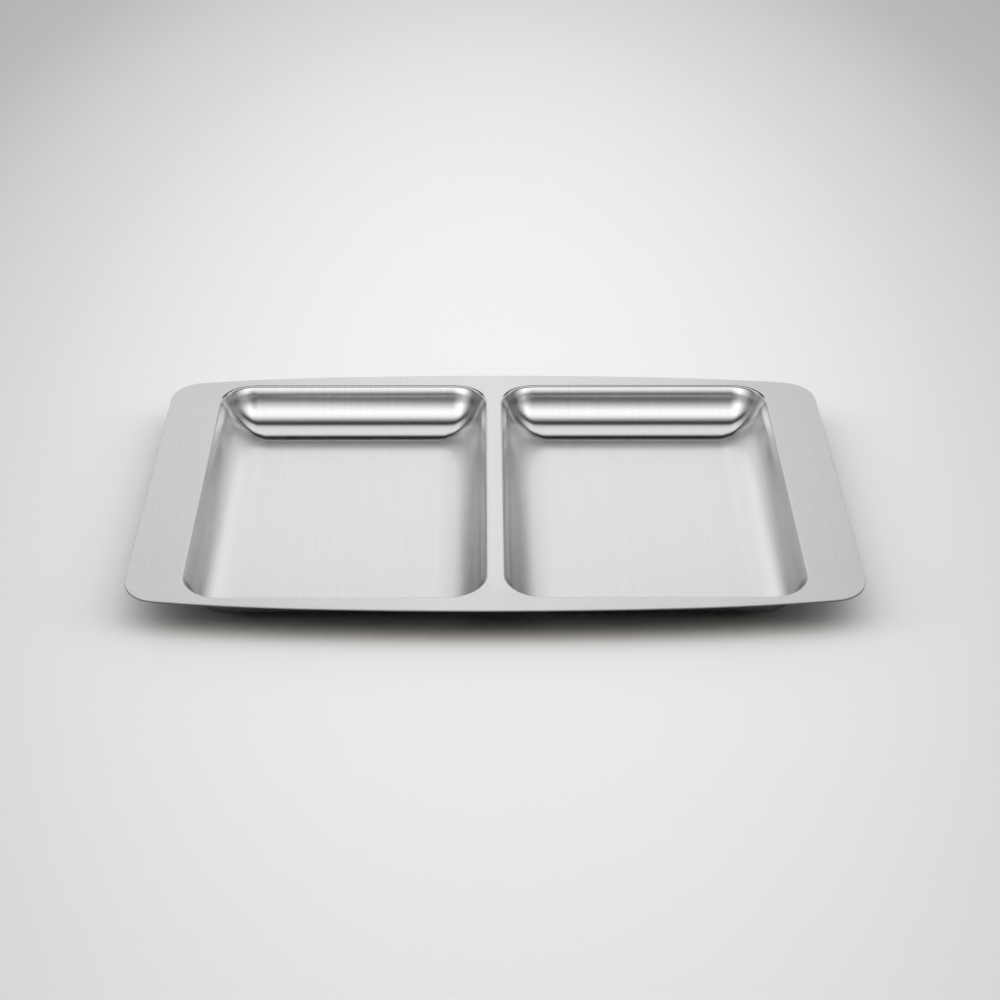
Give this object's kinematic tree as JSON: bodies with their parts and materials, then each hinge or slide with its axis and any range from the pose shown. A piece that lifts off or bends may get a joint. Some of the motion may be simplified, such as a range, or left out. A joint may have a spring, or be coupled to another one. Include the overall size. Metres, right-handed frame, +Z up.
{
  "type": "divided serving plate",
  "caption": "Low rectangular serving plate of pressed sheet, with a flat rim to hold it by and flat-floored wells side by side that keep foods apart.",
  "frame": {"origin": "on the surface that the plate stands on, under the middle of the plate", "axes": "+X along the plate's length, +Y across it towards the back, +Z up out of the wells"},
  "size_m": [0.36, 0.215, 0.0226],
  "materials": {
    "steel": "satin, brushed from front to back"
  },
  "bodies": {
    "root": {"rim": "steel", "left_well_wall": "steel", "left_well_floor": "steel", "right_well_wall": "steel", "right_well_floor": "steel"}
  },
  "joints": []
}
